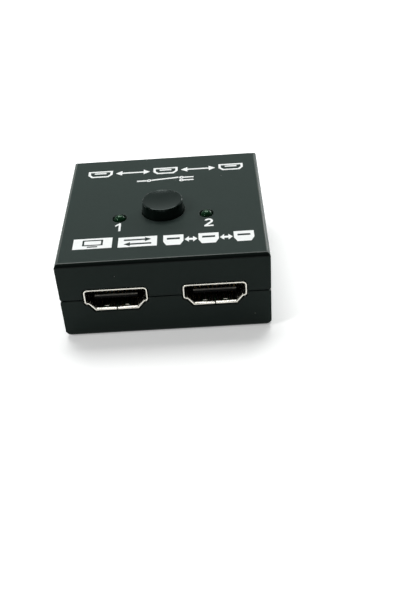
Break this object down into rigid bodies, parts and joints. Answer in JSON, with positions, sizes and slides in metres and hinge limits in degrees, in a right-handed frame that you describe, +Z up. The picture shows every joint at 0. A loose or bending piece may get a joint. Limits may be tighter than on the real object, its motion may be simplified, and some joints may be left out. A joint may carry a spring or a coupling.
{
  "type": "video switch",
  "caption": "Small black folded-sheet switch box with digital video sockets on opposite faces, a round push button and green indicator lamps on top.",
  "frame": {"origin": "on the resting plane, under the middle of the case", "axes": "+X to the right as seen from the face with two sockets, +Y towards the face with one socket, +Z up"},
  "size_m": [0.049, 0.049, 0.0237],
  "materials": {
    "case_black": "black powder coat, satin",
    "screw_black": "black oxide",
    "screw_steel": "plain steel",
    "post_brass": "turned",
    "board_green": "solder resist",
    "shell_nickel": "bright nickel plate",
    "moulding_black": "moulded",
    "contact_gold": "gold plate",
    "button_black": "polished",
    "slider_ivory": "moulded",
    "lens_green": "tinted clear resin",
    "lead_tin": "tinned",
    "chip_grey": "ceramic with tinned ends",
    "chip_tan": "ceramic with tinned ends"
  },
  "bodies": {
    "case": {"top_cover": "case_black", "bottom_tray": "case_black", "case_screws": "screw_black", "circuit_board": "board_green", "board_posts": "post_brass", "board_screws": "screw_steel", "socket_shell_left": "shell_nickel", "socket_shell_right": "shell_nickel", "socket_shell_rear": "shell_nickel", "socket_body_left": "moulding_black", "socket_body_right": "moulding_black", "socket_body_rear": "moulding_black", "socket_contacts_left": "contact_gold", "socket_contacts_right": "contact_gold", "socket_contacts_rear": "contact_gold", "switch_spring": "screw_steel", "switch_housing": "moulding_black", "switch_frame": "shell_nickel", "switch_terminals": "lead_tin", "led_lens_left": "lens_green", "led_lens_right": "lens_green", "led_leads_left": "lead_tin", "led_leads_right": "lead_tin", "selector_chip": "moulding_black", "resistors": "chip_grey", "capacitors": "chip_tan", "diodes": "moulding_black"},
    "button": {"button_cap": "button_black", "switch_slider": "slider_ivory", "slider_contacts": "contact_gold"},
    "latch": {"latch_pin": "screw_steel"}
  },
  "joints": [
    {"name": "button_press", "type": "slide", "parent": "case", "child": "button", "axis": [0, 0, -1], "range_m": [0, 0.002], "stiffness_N_per_m": 600, "springref_m": -0.001, "deforming": ["switch_spring"]},
    {"name": "latch_swing", "type": "hinge", "parent": "case", "child": "latch", "pos_m": [0, -0.00605, 0.0094], "axis": [0, 1, 0], "range_deg": [0, 18]}
  ],
  "couplings": [
    {"joint": "latch_swing", "follows": "button_press", "rad_per_m": 157}
  ]
}
